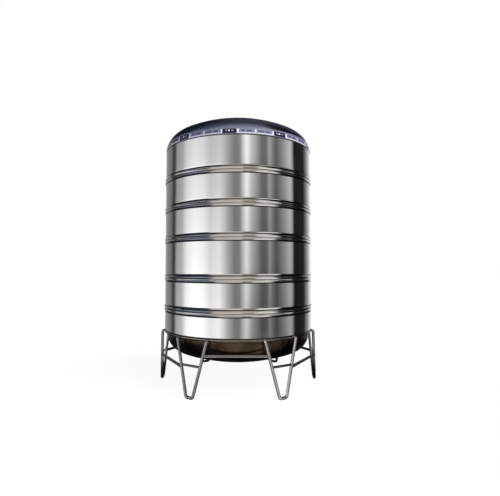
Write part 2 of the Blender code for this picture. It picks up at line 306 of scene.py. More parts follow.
def makeDishSheet():
    # spun 304 stainless dish, not polished: dull, smeared and browned by handling, and coloured darker
    # still as painted shade for the shadow under the tank, with the same tool rings as the dome but deeper
    material, tree, shader, coords = startMaterial("stainlessDishBrownedAndShaded", "#5B5046", 1.0, 0.4)
    smears = addNode(tree, "ShaderNodeTexNoise",
                     {"Vector": coords, "Scale": 4.0, "Detail": 6.0, "Roughness": 0.6})
    # dark brown ramp: partly the dish's own browning, partly painted shade
    tint = addNode(tree, "ShaderNodeValToRGB", {"Fac": smears.outputs["Fac"]})
    setStops(tint.color_ramp, [(0.35, linear("#342B24")), (0.68, linear("#706153"))])
    rough = addNode(tree, "ShaderNodeMapRange", {"Value": smears.outputs["Fac"], "From Min": 0.3,
                                                 "From Max": 0.75, "To Min": 0.22, "To Max": 0.42})
    rings = addNode(tree, "ShaderNodeTexWave", {"Vector": coords, "Scale": 26.0, "Distortion": 0.8,
                                                "Detail": 2.0}, wave_type="RINGS", rings_direction="Z")
    bump = addNode(tree, "ShaderNodeBump",
                   {"Height": rings.outputs["Fac"], "Strength": 0.08, "Distance": 0.001})
    feedShader(tree, shader, {"Base Color": tint, "Roughness": rough, "Normal": bump})
    return material


def makeTubeSatin(name, colour, worn, darkRise=0.0):
    # drawn 304 stainless tube, satin ground: soft highlights, dust in faint patches 140 mm across
    material, tree, shader, coords = startMaterial(name, colour, 1.0, 0.22)
    patches = addNode(tree, "ShaderNodeTexNoise", {"Vector": coords, "Scale": 7.0, "Detail": 2.0})
    shade = addNode(tree, "ShaderNodeValToRGB", {"Fac": patches.outputs["Fac"]})
    setStops(shade.color_ramp, [(0.3, linear(worn)), (0.65, linear(colour))])
    if darkRise:
        # darker towards the foot: at its darkest up to 45 % of the given rise, and plain above the whole
        # rise
        split = addNode(tree, "ShaderNodeSeparateXYZ", {"Vector": coords})
        clearOfDark = addNode(tree, "ShaderNodeMapRange", {"Value": split.outputs["Z"],
                                                     "From Min": darkRise * 0.45, "From Max": darkRise})
        shade = addNode(tree, "ShaderNodeMixRGB", {"Fac": clearOfDark.outputs[0], "Color1": linear("#2B2A29"),
                                                   "Color2": shade.outputs[0]})
    rough = addNode(tree, "ShaderNodeMapRange", {"Value": patches.outputs["Fac"], "From Min": 0.3,
                                                 "From Max": 0.7, "To Min": 0.26, "To Max": 0.18})
    feedShader(tree, shader, {"Base Color": shade, "Roughness": rough})
    return material


def makeWeldBead(name, cool, plain, straw):
    # TIG weld in stainless: ripples 3 mm apart, heat tint in patches about 20 mm long
    material, tree, shader, coords = startMaterial(name, plain, 1.0, 0.42)
    heat = addNode(tree, "ShaderNodeTexNoise", {"Vector": coords, "Scale": 45.0, "Detail": 3.0})
    tint = addNode(tree, "ShaderNodeValToRGB", {"Fac": heat.outputs["Fac"]})
    setStops(tint.color_ramp, [(0.3, linear(cool)), (0.5, linear(plain)), (0.7, linear(straw))])
    ripples = addNode(tree, "ShaderNodeTexVoronoi", {"Vector": coords, "Scale": 320.0})
    bump = addNode(tree, "ShaderNodeBump",
                   {"Height": ripples.outputs["Distance"], "Strength": 0.5, "Distance": 0.001})
    feedShader(tree, shader, {"Base Color": tint, "Normal": bump})
    return material


def makeCastSteel():
    # investment cast stainless: grey, a fine sandy skin about 1 mm in grain
    material, tree, shader, coords = startMaterial("stainlessCastSocket", "#9A9996", 1.0, 0.45)
    sand = addNode(tree, "ShaderNodeTexNoise", {"Vector": coords, "Scale": 900.0, "Detail": 2.0})
    rough = addNode(tree, "ShaderNodeMapRange",
                    {"Value": sand.outputs["Fac"], "To Min": 0.36, "To Max": 0.54})
    bump = addNode(tree, "ShaderNodeBump",
                   {"Height": sand.outputs["Fac"], "Strength": 0.25, "Distance": 0.0005})
    feedShader(tree, shader, {"Roughness": rough, "Normal": bump})
    return material


film = {
    "start": 2,                 # degrees up the dome's knuckle where the film starts
    "sweep": 18,                # degrees that it covers
    "steps": 10,
    "sheet": 0.0003,
    "standOff": 0.0006,         # its outer face above the dome: a hairline and its own thickness
    "repeats": 10,              # printed panels round the dome
    "navy": "#171A3C",
    "fill": "#8688A0",
    "mark": "#484C6C",
    "white": "#E6E6F0",
    "ground": "#7B7D96",
    # what each printed row shows, as (share of a panel where it starts, ink)
    "rules": [(0.0, "white"), (0.03, "navy"), (0.30, "white")],
    "plain": [(0.0, "white"), (0.03, "navy"), (0.30, "white"), (0.33, "fill"), (0.66, "white"),
              (0.68, "fill"), (0.985, "white")],
    "marks": [(0.0, "white"), (0.03, "navy"), (0.085, "fill"), (0.13, "navy"), (0.16, "white"),
              (0.19, "navy"), (0.21, "fill"), (0.25, "navy"), (0.30, "white"), (0.33, "fill"),
              (0.38, "mark"), (0.48, "fill"), (0.51, "mark"), (0.62, "fill"), (0.66, "white"),
              (0.68, "fill"), (0.74, "mark"), (0.84, "fill"), (0.88, "mark"), (0.94, "fill"),
              (0.985, "white")],
    # each row lies over the one before it: (row, middle of its height, half its height)
    "rows": [("rules", 0.37, 0.31), ("plain", 0.45, 0.27), ("marks", 0.45, 0.12)],
}


def makePrintedFilm():
    # printed clear polythene film on steel: half the look is the steel behind it; plain boxes and
    # bars of ink round the dome, no words, and wrinkles about 30 mm across
    material, tree, shader, coords = startMaterial("printedPolytheneFilm", film["ground"], 0.4, 0.25)
    low, high = heights("dome_film")
    split = addNode(tree, "ShaderNodeSeparateXYZ", {"Vector": coords})
    around = addNode(tree, "ShaderNodeMath", {0: split.outputs["X"], 1: split.outputs["Y"]},
                     operation="ARCTAN2")
    panels = addNode(tree, "ShaderNodeMath", {0: around.outputs[0], 1: film["repeats"] / math.tau},
                     operation="MULTIPLY")
    share = addNode(tree, "ShaderNodeMath", {0: panels.outputs[0]}, operation="FRACT")
    rise = addNode(tree, "ShaderNodeMapRange",
                   {"Value": split.outputs["Z"], "From Min": low, "From Max": high})
    layer = linear(film["ground"])
    for row, middle, half in film["rows"]:
        inks = addNode(tree, "ShaderNodeValToRGB", {"Fac": share.outputs[0]})
        inks.color_ramp.interpolation = "CONSTANT"
        setStops(inks.color_ramp, [(start, linear(film[ink])) for start, ink in film[row]])
        inRow = addNode(tree, "ShaderNodeMath", {0: rise.outputs[0], 1: middle, 2: half},
                        operation="COMPARE")
        over = addNode(tree, "ShaderNodeMixRGB",
                       {"Fac": inRow.outputs[0], "Color1": layer, "Color2": inks.outputs[0]})
        layer = over.outputs[0]
    wrinkles = addNode(tree, "ShaderNodeTexNoise", {"Vector": coords, "Scale": 30.0, "Detail": 3.0})
    bump = addNode(tree, "ShaderNodeBump",
                   {"Height": wrinkles.outputs["Fac"], "Strength": 0.2, "Distance": 0.002})
    feedShader(tree, shader, {"Base Color": over, "Normal": bump})
    return material


rib = {
    "proud": 0.009,             # how far a rib stands out of the wall
    "crown": 0.003,             # radius of its crown
    "fillet": 0.0025,           # radius at its feet
    "valley": 0.002,            # the groove between the two ribs stops this short of the wall
    "steps": 8,                 # steps across the crown
    "footSteps": 3,             # steps across a foot
    "margin": 0.005,            # flat strip beside a band, pressed with it
    "curl": 0.018,              # height over which a course curls in above a band
    "curlRadius": 0.055,
    "curlSteps": 4,
    "grimeAndShadeStart": 0.001,        # how far out of the wall the grime and painted shade start to thin
    "grimeAndShadeRise": 0.0035,        # and where they are gone
}

wallSheet = makeWallSheet("stainlessBrightSheet", False)
ribSheet = makeWallSheet("stainlessRolledRibs", True)
domeSheet = makeDomeSheet()
dishSheet = makeDishSheet()
tubeSatin = makeTubeSatin("stainlessSatinTube", "#A9AAAC", "#9B9B9C")
# lit and shaded copies of the tube steel for the front right and front left legs: painted light and painted
# shade
tubePaintedLit = makeTubeSatin("stainlessTubePaintedLit", "#F2F2F2", "#D2D2D0")
tubePaintedShade = makeTubeSatin("stainlessTubePaintedShade", "#9C9EA2", "#8B8C8E")
tubeDarkFoot = makeTubeSatin("stainlessTubeDarkFoot", "#AEB0B3", "#97989A", 0.30)
tieDusty = makeTubeSatin("stainlessDustyBrace", "#7E8084", "#707275")
# painted shade: the hoop's steel is coloured darker and browner than its reflections would make it
hoopPaintedShade = makeTubeSatin("stainlessHoopPaintedShade", "#A1988D", "#857B70")
weldBead = makeWeldBead("stainlessWeldBead", "#4F5563", "#7C746A", "#9A8560")
# painted shade: a dark copy of the weld bead for the round seams, standing for the shadow in the gap at
# each head
seamBeadPaintedShade = makeWeldBead("stainlessSeamBeadPaintedShade", "#25262B", "#3D3A37", "#524A40")
castSteel = makeCastSteel()
printedFilm = makePrintedFilm()
print("materials ready")


# Wall: plain courses of sheet between the rib bands

def drawCourse(bm, vert, low, high):
    # a plain stretch of wall
    rows = max(1, round((high - low) / tank["row"]))
    for row in range(1, rows + 1):
        vert = penLine(bm, vert, tank["radius"], low + (high - low) * row / rows)
    return vert


def drawRib(bm, vert, low, width):
    # one rib, drawn upwards: a foot fillet, a straight flank, the round crown and the same down again
    base, half = tank["radius"], width / 2
    proud, crown, fillet = rib["proud"], rib["crown"], rib["fillet"]
    reach = crown + fillet
    lean = math.atan2(half, reach - proud) - math.acos(reach / math.hypot(reach - proud, half))
    degrees, leanCos, leanSin = math.degrees(lean), math.cos(lean), math.sin(lean)
    vert = penArc(bm, vert, base + fillet, low, -degrees, rib["footSteps"])
    vert = penLine(bm, vert, base + proud - crown * (1 - leanCos), low + half - crown * leanSin)
    vert = penArc(bm, vert, base + proud - crown, low + half, 2 * degrees, rib["steps"])
    vert = penLine(bm, vert, base + fillet * (1 - leanCos), low + width - fillet * leanSin)
    return penArc(bm, vert, base + fillet, low + width, -degrees, rib["footSteps"])


def drawBand(bm, vert, low, high):
    # two ribs side by side
    middle = (low + high) / 2
    vert = drawRib(bm, vert, low, middle - low)
    vert = drawRib(bm, vert, middle, high - middle)
    for item in bm.verts:
        if abs(item.co.z - middle) < 2 * rib["fillet"]:
            item.co.x = max(item.co.x, tank["radius"] + rib["valley"])
    return vert


def buildWall():
    base, margin = tank["radius"], rib["margin"]
    curl, radius = rib["curl"], rib["curlRadius"]
    tilt = math.asin(curl / radius)
    inset = radius * (1 - math.cos(tilt))
    for number in range(1, 7):
        node = f"shell_course_{number}"
        low, high = heights(node)
        if number < 6:
            high -= margin
        if number == 1:
            bm, vert = startPen(base, low)
        else:
            # the lower edge curls in where the sheet was rolled into the band below
            low += margin
            bm, vert = startPen(base - inset, low)
            low += curl
            vert = penArc(bm, vert, base - radius, low, math.degrees(tilt), rib["curlSteps"])
        drawCourse(bm, vert, low, high)
        turnRound(bm, tank["steps"])
        finishPiece(f"wall_sheet_{number}", bm, wallSheet, [node], tank["sheet"])
    for number in range(1, 6):
        node = f"rib_band_{number}"
        low, high = heights(node)
        bm, vert = startPen(base, low - tank["gap"] - margin)
        vert = penLine(bm, vert, base, low)
        vert = drawBand(bm, vert, low, high)
        penLine(bm, vert, base - inset, high + tank["gap"] + margin)
        turnRound(bm, tank["steps"])
        finishPiece(f"rolled_ribs_{number}", bm, ribSheet, [node], tank["sheet"])


buildWall()
print("wall and ribs done")


# Heads: a spun dome on top and a spun dish below

heads = {
    "topKnuckle": 0.226,        # radius of the dome's outer bend
    "topCrown": 1.577,          # radius of the rest of the dome
    "dishRadius": 0.820,        # of the dish's skirt
    "dishSkirt": 0.046,         # height of the skirt
    "dishKnuckle": 0.209,
    "dishCrown": 1.950,
    "lipBend": 0.004,           # bend between the rim inside the wall and the ledge on the hoop
    "ledgeBend": 0.003,         # bend between that ledge and the skirt
    "neckRadius": 0.199,        # the dome stops here for the manhole's neck
    "bendSteps": 4,
    "knuckleSteps": 24,
    "crownSteps": 20,
}


def knuckleAngle(radius, knuckle, crown):
    # degrees from the axis at which the knuckle meets the crown
    return math.degrees(math.asin((radius - knuckle) / (crown - knuckle)))


def buildTopHead():
    base = tank["top"]
    knuckle, crown = heads["topKnuckle"], heads["topCrown"]
    meet = knuckleAngle(tank["radius"], knuckle, crown)
    crownCentre = base - math.cos(math.radians(meet)) * (crown - knuckle)
    stop = math.degrees(math.asin(heads["neckRadius"] / crown))
    bm, vert = startPen(tank["radius"], base)
    vert = penArc(bm, vert, tank["radius"] - knuckle, base, 90 - meet, heads["knuckleSteps"])
    penArc(bm, vert, 0, crownCentre, meet - stop, heads["crownSteps"])
    turnRound(bm, tank["steps"])
    finishPiece("spun_dome", bm, domeSheet, ["top_head"], tank["sheet"])


def buildFilm():
    base = tank["top"]
    radius = heads["topKnuckle"] + film["standOff"]
    centre = tank["radius"] - heads["topKnuckle"]
    start = math.radians(film["start"])
    bm, vert = startPen(centre + radius * math.cos(start), base + radius * math.sin(start))
    penArc(bm, vert, centre, base, film["sweep"], film["steps"])
    turnRound(bm, tank["steps"])
    finishPiece("printed_band", bm, printedFilm, ["dome_film"], film["sheet"])


def buildDish():
    base = tank["bottom"]
    radius, knuckle, crown = heads["dishRadius"], heads["dishKnuckle"], heads["dishCrown"]
    lip, ledge, bendSteps = heads["lipBend"], heads["ledgeBend"], heads["bendSteps"]
    meet = knuckleAngle(radius, knuckle, crown)
    skirtFoot = base - heads["dishSkirt"]
    crownCentre = skirtFoot + math.cos(math.radians(meet)) * (crown - knuckle)
    rim = tank["radius"] - tank["sheet"] - tank["gap"]
    bm, vert = startPen(rim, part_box("bottom_head")[1].z)
    vert = penLine(bm, vert, rim, base + lip)
    vert = penArc(bm, vert, rim - lip, base + lip, -90, bendSteps)
    vert = penLine(bm, vert, radius + ledge, base)
    vert = penArc(bm, vert, radius + ledge, base - ledge, 90, bendSteps)
    vert = penLine(bm, vert, radius, skirtFoot)
    vert = penArc(bm, vert, radius - knuckle, skirtFoot, meet - 90, heads["knuckleSteps"])
    penArc(bm, vert, 0, crownCentre, -meet, heads["crownSteps"])
    turnRound(bm, tank["steps"])
    finishPiece("spun_dish", bm, dishSheet, ["bottom_head"], tank["sheet"])


buildTopHead()
buildFilm()
buildDish()
print("dome, film and dish done")


# Manhole: a rolled neck, a pressed lid with a bead round it and a rod handle

manhole = {
    "steps": 96,                # steps in a full turn
    "neckBend": 0.002,          # rounding of the neck's top edge
    "lidBend": 0.003,           # rounding of the lid's rim
    "bendSteps": 4,
    "lidDome": 0.190,           # radius within which the lid is domed
    "domeSteps": 24,
    "beadRadius": 0.150,        # where the pressed bead runs
    "beadHalf": 0.012,          # half its width
    "beadRise": 0.0025,         # how deep it is
    "handleSpan": 0.120,
    "handleBend": 0.012,
    "handleSides": 16,
    "handleSteps": 6,
    "weldBead": 0.0022,
    "weldLift": 0.0008,         # how far the handle's welds stand up from the rods' lower ends
    "weldCarrier": 0.5,         # the lid is nearly flat, so they lie on a wide round
}


def buildNeck():
    low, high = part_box("manhole_neck")
    radius, bend = high.x, manhole["neckBend"]
    bm, vert = startPen(radius, low.z)
    vert = penLine(bm, vert, radius, high.z - bend)
    penArc(bm, vert, radius - bend, high.z - bend, 90, manhole["bendSteps"])
    turnRound(bm, manhole["steps"])
    finishPiece("rolled_neck", bm, domeSheet, ["manhole_neck"], tank["sheet"])


def buildLid():
    low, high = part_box("manhole_lid")
    rim, bend, dome = high.x, manhole["lidBend"], manhole["lidDome"]
    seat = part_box("manhole_neck")[1].z + tank["gap"] + tank["sheet"]
    rise = high.z - seat
    crown = (dome ** 2 + rise ** 2) / (2 * rise)
    lean = math.degrees(math.asin(dome / crown))
    bm, vert = startPen(rim, low.z)
    vert = penLine(bm, vert, rim, seat - bend)
    vert = penArc(bm, vert, rim - bend, seat - bend, 90, manhole["bendSteps"])
    vert = penLine(bm, vert, dome, seat)
    penArc(bm, vert, 0, high.z - crown, lean, manhole["domeSteps"])
    for item in bm.verts:
        # the pressed bead that stiffens the lid
        offset = (item.co.x - manhole["beadRadius"]) / manhole["beadHalf"]
        if abs(offset) < 1:
            item.co.z -= manhole["beadRise"] * (1 + math.cos(math.pi * offset)) / 2
    turnRound(bm, manhole["steps"])
    finishPiece("pressed_lid", bm, domeSheet, ["manhole_lid"], tank["sheet"])


def buildHandle():
    low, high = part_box("lid_handle")
    half = manhole["handleSpan"] / 2
    rod = (high.y - low.y) / 2
    outline = [(-half, low.z), (-half, high.z - rod), (half, high.z - rod), (half, low.z)]
    bm = bmesh.new()
    bentTube(bm, [Vector((x, 0, z)) for x, z in outline], [manhole["handleBend"]] * 2, rod,
             manhole["handleSides"], manhole["handleSteps"])
    finishPiece("rod_handle", bm, tubeSatin, ["lid_handle"])

    bm = bmesh.new()
    carrier = manhole["weldCarrier"]
    for number, hand in enumerate((-1, 1)):
        place = Vector((hand * half, 0, low.z - carrier + manhole["weldLift"]))
        saddleWeld(bm, place, up, Vector((0, 1, 0)), carrier, rod, manhole["weldBead"], number)
    finishPiece("handle_welds", bm, weldBead)


buildNeck()
buildLid()
buildHandle()
print("manhole done")


# Stand: hoop, V legs and braces of tube, welded

stand = {
    "turn": math.radians(-1.5),         # the whole stand, against the camera
    "frontLeg": math.radians(31.4),     # azimuth of the front legs, from the front
    "halfAngle": math.radians(12.4),    # azimuth of a leg's two ends, from its middle
    "endReach": 0.8,                    # share of the tube's radius from hoop centre to leg end
    "elbowReach": 0.0195,               # from the hoop's outer side to a leg's elbow
    "topBend": 0.0172,
    "footBend": 0.026,
    "footRadius": 0.888,                # from the tank's axis
    "footHalfWidth": 0.041,
    "legTie": 0.323,                    # heights of the braces
    "bayTie": 0.301,
    "highTie": 0.432,
    "bead": 0.0034,                     # radius of a weld bead
    "tieSides": 20,
    # share of a solid brace's half height that the round one fills
    "tieShare": math.cos(math.pi / 12),
    "hoopSides": 20,
    "cadHoopSides": 8,                  # the solid hoop's sides, whose corners set it off the skirt
}


def standSizes():
    hoopLow, hoopHigh = heights("support_hoop")
    tube = (hoopHigh - hoopLow) / 2
    thinLow, thinHigh = heights("leg_brace_right")
    thickLow, thickHigh = heights("bay_brace_front")
    return {
        "tube": tube,
        "thin": (thinHigh - thinLow) / 2 * stand["tieShare"],
        "thick": (thickHigh - thickLow) / 2 * stand["tieShare"],
        "hoopMid": (hoopHigh + hoopLow) / 2,
        "hoopRadius": heads["dishRadius"] + tank["gap"] + tube / math.cos(math.pi / stand["cadHoopSides"]),
    }


def legCorners(sizes):
    # centre line of the V leg that faces -Y, from hoop to ground to hoop
    corners = []
    for hand in (-1, 1):
        spoke = spokeAt(hand * stand["halfAngle"])
        mid = up * sizes["hoopMid"]
        end = spoke * (sizes["hoopRadius"] + sizes["tube"] * stand["endReach"]) + mid
        elbow = spoke * (sizes["hoopRadius"] + sizes["tube"] + stand["elbowReach"]) + mid
        foot = Vector((hand * stand["footHalfWidth"], -stand["footRadius"], sizes["tube"]))
        side = [end, elbow, foot]
        corners += side if hand < 0 else side[::-1]
    return corners


def runPoint(corners, height, hand):
    # where the left (-1) or right (1) run of the front V leg passes a height, and its way up
    foot, elbow = (corners[2], corners[1]) if hand < 0 else (corners[3], corners[4])
    way = (elbow - foot).normalized()
    return foot + way * ((height - foot.z) / way.z), way


def buildHoop(sizes):
    bm = bmesh.new()
    startRing(bm, sizes["hoopRadius"], sizes["hoopMid"], sizes["tube"], stand["hoopSides"])
    turnRound(bm, tank["steps"])
    finishPiece("hoop_tube", bm, hoopPaintedShade, ["support_hoop"])


def addTie(welds, name, node, ends, spin, radius, sizes, seed, steel):
    # a straight brace between two runs, with a bead round each end
    (near, nearWay), (far, farWay) = [(spin @ point, spin @ way) for point, way in ends]
    bm = bmesh.new()
    bentTube(bm, [near, far], [], radius, stand["tieSides"])
    finishPiece(name, bm, steel, [node])
    across = (far - near).normalized()
    reach = min(radius, sizes["tube"]) * weld["hold"]
    saddleWeld(welds, near, across, nearWay, sizes["tube"], reach, stand["bead"], seed)
    saddleWeld(welds, far, -across, farWay, sizes["tube"], reach, stand["bead"], seed + 0.5)


def buildLegs(welds, sizes):
    corners = legCorners(sizes)
    bends = [stand["topBend"], stand["footBend"], stand["footBend"], stand["topBend"]]
    front, quarter = stand["frontLeg"], math.pi / 2
    turns = {"front_right": front, "right": quarter, "rear_right": math.pi - front,
             "rear_left": math.pi + front, "left": -quarter, "front_left": -front}
    # the front right leg gets a painted lit copy of the tube steel and the front left a painted shaded
    # copy; the others are darker towards their feet
    steels = {"front_right": tubePaintedLit, "front_left": tubePaintedShade}
    for seed, (place, turn) in enumerate(turns.items()):
        spin = Matrix.Rotation(turn + stand["turn"], 3, "Z")
        bm = bmesh.new()
        bentTube(bm, [spin @ corner for corner in corners], bends, sizes["tube"])
        finishPiece(f"bent_leg_{place}", bm, steels.get(place, tubeDarkFoot), [f"leg_{place}"])
        ends = [runPoint(corners, stand["legTie"], hand) for hand in (-1, 1)]
        addTie(welds, f"leg_tie_{place}", f"leg_brace_{place}", ends, spin, sizes["thin"], sizes, seed,
               tieDusty)
        for hand in (-1, 1):
            spoke = spokeAt(hand * stand["halfAngle"])
            joint = spin @ (spoke * sizes["hoopRadius"] + up * sizes["hoopMid"])
            saddleWeld(welds, joint, spin @ spoke, spin @ spoke.cross(up), sizes["tube"],
                       sizes["tube"] * weld["hold"], stand["bead"], 10 * seed + hand)


def buildBayTies(welds, sizes):
    corners = legCorners(sizes)
    front = stand["frontLeg"]
    sideHalf = (math.pi / 2 - front) / 2
    side = math.pi / 2 - sideHalf
    turns = {"front": 0, "front_right": side, "rear_right": math.pi - side, "rear": math.pi,
             "rear_left": math.pi + side, "front_left": -side}
    flip = Vector((-1, 1, 1))
    for seed, (bay, turn) in enumerate(turns.items(), 60):
        high = bay in ("front", "rear")
        height, back = (stand["highTie"], -front) if high else (stand["bayTie"], -sideHalf)
        radius, steel = (sizes["thick"], tubeSatin) if high else (sizes["tube"], tieDusty)
        # from the right run of the leg at the bay's left to the mirror image of that point
        point, way = [Matrix.Rotation(back, 3, "Z") @ item for item in runPoint(corners, height, 1)]
        spin = Matrix.Rotation(turn + stand["turn"], 3, "Z")
        addTie(welds, f"bay_tie_{bay}", f"bay_brace_{bay}", [(point, way), (point * flip, way * flip)],
               spin, radius, sizes, seed, steel)


def buildStand():
    sizes = standSizes()
    welds = bmesh.new()
    buildHoop(sizes)
    buildLegs(welds, sizes)
    buildBayTies(welds, sizes)
    finishPiece("stand_welds", welds, weldBead)


buildStand()
print("stand done")


# Sockets: a round socket welded to the wall or the dish, with a hexagon plug in it

socket = {
    "radius": 0.024,
    "length": 0.032,
    "chamfer": 0.002,           # of the outer edge
    "mouth": 0.0185,            # radius of the recess that the plug stands in, at its top
    "floor": 0.0175,            # and at its bottom
    "recess": 0.0015,           # its depth
    "steps": 48,
    "plugAcross": 0.034,        # hexagon, across its corners
    "plugHead": 0.009,          # how far it stands out of the socket
    "plugChamfer": 0.0015,
    "bead": 0.003,
    "sink": 0.0005,             # how deep the foot sits in the wall's curve
}


def buildSocket(name, node, place, way):
    turn = Matrix.Translation(place) @ way.to_track_quat("Z", "Y").to_matrix().to_4x4()
    radius, length, recess = socket["radius"], socket["length"], socket["recess"]
    bm, vert = startPen(radius, 0)
    for x, z in ((radius, length - socket["chamfer"]), (radius - socket["chamfer"], length),
                 (socket["mouth"], length), (socket["floor"], length - recess), (0, length - recess)):
        vert = penLine(bm, vert, x, z)
    turnRound(bm, socket["steps"])
    bmesh.ops.remove_doubles(bm, verts=bm.verts, dist=1e-6)
    bmesh.ops.holes_fill(bm, edges=[edge for edge in bm.edges if edge.is_boundary], sides=0)
    bmesh.ops.transform(bm, matrix=turn, verts=bm.verts)
    finishPiece(name, bm, castSteel, [node], sharp=30)

    bm = bmesh.new()
    bmesh.ops.create_circle(bm, cap_ends=True, segments=6, radius=socket["plugAcross"] / 2,
                            matrix=Matrix.Translation((0, 0, length - recess)))
    made = bmesh.ops.extrude_face_region(bm, geom=bm.faces[:])["geom"]
    top = [item for item in made if isinstance(item, bmesh.types.BMVert)]
    bmesh.ops.translate(bm, verts=top, vec=(0, 0, socket["plugHead"] + recess))
    bmesh.ops.bevel(bm, geom=edgesAmong(bm, top), offset=socket["plugChamfer"], affect="EDGES", segments=2,
                    profile=0.5, material=-1)
    bmesh.ops.transform(bm, matrix=turn, verts=bm.verts)
    finishPiece(f"{name}_plug", bm, castSteel, sharp=30)

    bm = bmesh.new()
    onWall = abs(way.z) < 0.5
    along = up if onWall else Vector((1, 0, 0))
    carrier = tank["radius"] if onWall else heads["dishCrown"]
    saddleWeld(bm, place - way * carrier, way, along, carrier, radius, socket["bead"], place.z)
    finishPiece(f"{name}_weld", bm, weldBead)


def buildSockets():
    for node in ("inlet_socket", "outlet_socket"):
        low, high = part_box(node)
        middle = (low + high) / 2
        way = Vector((middle.x, middle.y, 0)).normalized()
        place = way * (tank["radius"] - socket["sink"]) + up * middle.z
        buildSocket(f"welded_{node}", node, place, way)
    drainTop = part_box("drain_socket")[1].z
    buildSocket("welded_drain_socket", "drain_socket", Vector((0, 0, drainTop)), -up)


buildSockets()
print("sockets done")


# Welds of the shell: one round each head, and an upright seam up the back of each strip

seam = {
    "half": 0.003,              # half the width of an upright bead
    "roundHalf": 0.006,         # half the width of a bead round the tank
    "proud": 0.0016,            # how far the beads stand out
    "roundSink": 0.0008,        # how deep a bead round the tank sits in the wall
    "dishLift": 0.002,          # the dish's bead lies this far above the wall's lower edge
    "edge": 0.1,                # share of an upright bead's height left at its edges
    "roundSteps": 5,            # steps across a bead round the tank
    "uprightSteps": 4,          # steps across an upright one
    "sheet": 0.0005,
    "clear": 0.04,              # how far the upright seams stay off the middle band's centre
    "lowerAzimuth": 171.0,
    "upperAzimuth": 188.0,
}


def drawWall(bm, vert, bands, high):
    # the wall's section up to a height, over the ribs
    for number in bands:
        bandLow, bandHigh = heights(f"rib_band_{number}")
        vert = penLine(bm, vert, tank["radius"], bandLow)
        vert = drawBand(bm, vert, bandLow, bandHigh)
    return penLine(bm, vert, tank["radius"], high)


def buildRoundSeams():
    half, base = seam["roundHalf"], tank["radius"]
    reach = (half ** 2 + seam["proud"] ** 2) / (2 * seam["proud"])
    lean = math.degrees(math.asin(half / reach))
    for name, height in (("dome_seam", tank["top"]), ("dish_seam", tank["bottom"] + seam["dishLift"])):
        bm, vert = startPen(base - seam["roundSink"], height - half)
        penArc(bm, vert, base + seam["proud"] - seam["roundSink"] - reach, height, 2 * lean,
               seam["roundSteps"])
        turnRound(bm, tank["steps"])
        # the round beads carry painted shade in their colour
        finishPiece(name, bm, seamBeadPaintedShade, sheet=seam["sheet"])


def buildUprightSeams():
    middle = sum(heights("rib_band_3")) / 2
    half = math.degrees(seam["half"] / tank["radius"])
    strips = (("upright_seam_low", seam["lowerAzimuth"], (1, 2), tank["bottom"], middle - seam["clear"]),
              ("upright_seam_high", seam["upperAzimuth"], (4, 5), middle + seam["clear"], tank["top"]))
    for name, azimuth, bands, low, high in strips:
        bm, vert = startPen(tank["radius"], low)
        drawWall(bm, vert, bands, high)
        bmesh.ops.rotate(bm, verts=bm.verts, cent=(0, 0, 0),
                         matrix=Matrix.Rotation(math.radians(azimuth - half - 90), 3, "Z"))
        bmesh.ops.spin(bm, geom=bm.verts[:] + bm.edges[:], cent=(0, 0, 0), axis=(0, 0, 1),
                       angle=math.radians(2 * half), steps=seam["uprightSteps"])
        spoke = spokeAt(math.radians(azimuth))
        for vert in bm.verts:
            flat = Vector((vert.co.x, vert.co.y, 0))
            off = flat.angle(spoke) / math.radians(half)
            height = seam["edge"] + (1 - seam["edge"]) * max(0, 1 - off * off)
            vert.co += flat.normalized() * seam["proud"] * height
        finishPiece(name, bm, weldBead, sheet=seam["sheet"])


buildRoundSeams()
buildUprightSeams()
print("seams done")


# Studio: the light that the steel mirrors, a pale floor and the camera

